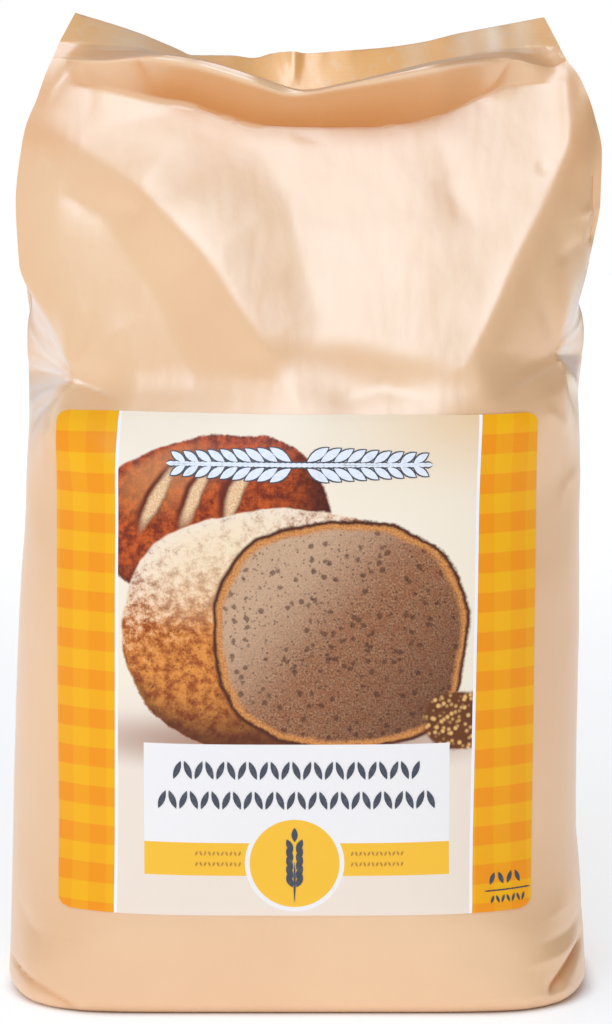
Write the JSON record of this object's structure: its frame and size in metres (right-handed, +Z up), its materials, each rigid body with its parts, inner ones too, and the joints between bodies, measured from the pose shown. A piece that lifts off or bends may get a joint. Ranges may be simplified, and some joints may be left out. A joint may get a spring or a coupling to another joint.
{
  "type": "bag of flour",
  "caption": "Upright side-gusseted bag of flour in satin pearl film, filled and heat-sealed shut, with a rounded paper label on the front.",
  "frame": {"origin": "middle of the bag's bounding box, on the flat base", "axes": "+Z up from the base to the heat-sealed strip, -Y out of the front that carries the label, +X to the viewer's right"},
  "size_m": [0.1868, 0.1118, 0.3048],
  "materials": {
    "pearl_film": "satin pearl film",
    "label_paper": "semi-gloss printed paper"
  },
  "bodies": {
    "root": {"bag": "pearl_film", "label": "label_paper"}
  },
  "joints": []
}
